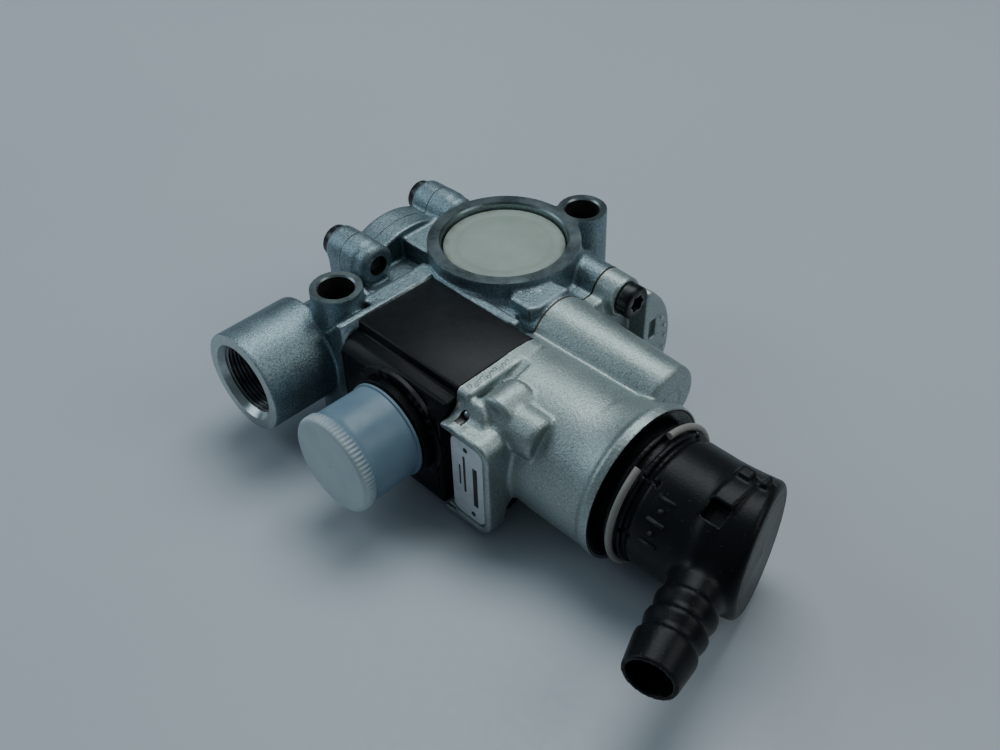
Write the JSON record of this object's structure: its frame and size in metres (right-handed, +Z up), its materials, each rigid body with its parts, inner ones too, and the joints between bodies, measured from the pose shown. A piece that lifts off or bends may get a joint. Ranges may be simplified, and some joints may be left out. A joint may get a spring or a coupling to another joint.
{
  "type": "pneumatic solenoid modulator valve",
  "caption": "Cast pneumatic brake modulator valve with a threaded supply port, plugged top port, capped solenoid connector, mounting tubes and a swivelling exhaust elbow with a hose barb.",
  "frame": {"origin": "centre of the bounding box in plan, at the bench under the mounting tubes", "axes": "+X along the exhaust axis towards the elbow, -Y towards the supply port and the connector, +Z up out of the top port"},
  "size_m": [0.1682, 0.1164, 0.0444],
  "materials": {
    "cast_metal": "die-cast, bluish grey, speckled, with brighter machined faces",
    "blasted_cover": "die-cast and blasted, lighter silvery grey",
    "gasket_sheet": "thin brown gasket sheet",
    "black_plastic": "black glass-filled plastic, satin with a fine grain",
    "contact_brass": "bright contact pins, assumed",
    "coil_winding": "wound coil, assumed",
    "magnet_iron": "magnet iron parts, assumed",
    "screw_zinc_black": "dark coated steel with bright worn edges",
    "bright_steel": "bright steel",
    "label_sheet": null,
    "black_rubber": "moulded rubber",
    "pale_plug": "pale grey-green moulded plug",
    "milky_plastic": "translucent bluish-white thin moulding",
    "ring_plastic": "warm light grey ring"
  },
  "bodies": {
    "valve": {"main_housing": "cast_metal", "rear_cover": "cast_metal", "front_cover": "blasted_cover", "rear_gasket": "gasket_sheet", "front_gasket": "gasket_sheet", "solenoid_housing": "black_plastic", "connector_collar": "black_plastic", "contact_pin_1": "contact_brass", "contact_pin_2": "contact_brass", "contact_pin_3": "contact_brass", "contact_pin_4": "contact_brass", "coil_1": "coil_winding", "pole_core_1": "magnet_iron", "coil_2": "coil_winding", "pole_core_2": "magnet_iron", "yoke_plate": "magnet_iron", "rear_screw_1": "screw_zinc_black", "rear_screw_2": "screw_zinc_black", "rear_screw_3": "screw_zinc_black", "rear_screw_4": "screw_zinc_black", "front_screw_1": "screw_zinc_black", "front_screw_2": "screw_zinc_black", "front_screw_3": "screw_zinc_black", "channel_ball": "bright_steel", "label_plate": "label_sheet", "mouth_seal": "black_rubber", "filter_screen": "bright_steel", "top_seal": "black_rubber"},
    "elbow": {"elbow": "black_plastic", "snap_ring": "ring_plastic", "elbow_o_ring": "black_rubber"},
    "protective_cap": {"protective_cap": "milky_plastic"},
    "top_plug": {"top_plug": "pale_plug"},
    "armature_1": {"armature_1": "magnet_iron"},
    "armature_2": {"armature_2": "magnet_iron"},
    "rear_valve_disc": {"rear_valve_disc": "black_rubber"},
    "front_valve_disc": {"front_valve_disc": "black_rubber"}
  },
  "joints": [
    {"name": "elbow_turn", "type": "hinge", "parent": "valve", "child": "elbow", "pos_m": [0.05652, -0.0069, 0.0217], "axis": [1, 0, 0], "continuous": true},
    {"name": "cap_pull", "type": "slide", "parent": "valve", "child": "protective_cap", "axis": [0, -1, 0], "range_m": [0, 0.03]},
    {"name": "plug_lift", "type": "slide", "parent": "valve", "child": "top_plug", "axis": [0, 0, 1], "range_m": [0, 0.015]},
    {"name": "armature_1_stroke", "type": "slide", "parent": "valve", "child": "armature_1", "axis": [0, -1, 0], "range_m": [0, 0.001], "stiffness_N_per_m": 300},
    {"name": "armature_2_stroke", "type": "slide", "parent": "valve", "child": "armature_2", "axis": [0, -1, 0], "range_m": [0, 0.001], "stiffness_N_per_m": 300},
    {"name": "rear_disc_lift", "type": "slide", "parent": "valve", "child": "rear_valve_disc", "axis": [-1, 0, 0], "range_m": [0, 0.002], "stiffness_N_per_m": 400},
    {"name": "front_disc_lift", "type": "slide", "parent": "valve", "child": "front_valve_disc", "axis": [1, 0, 0], "range_m": [0, 0.002], "stiffness_N_per_m": 400}
  ]
}
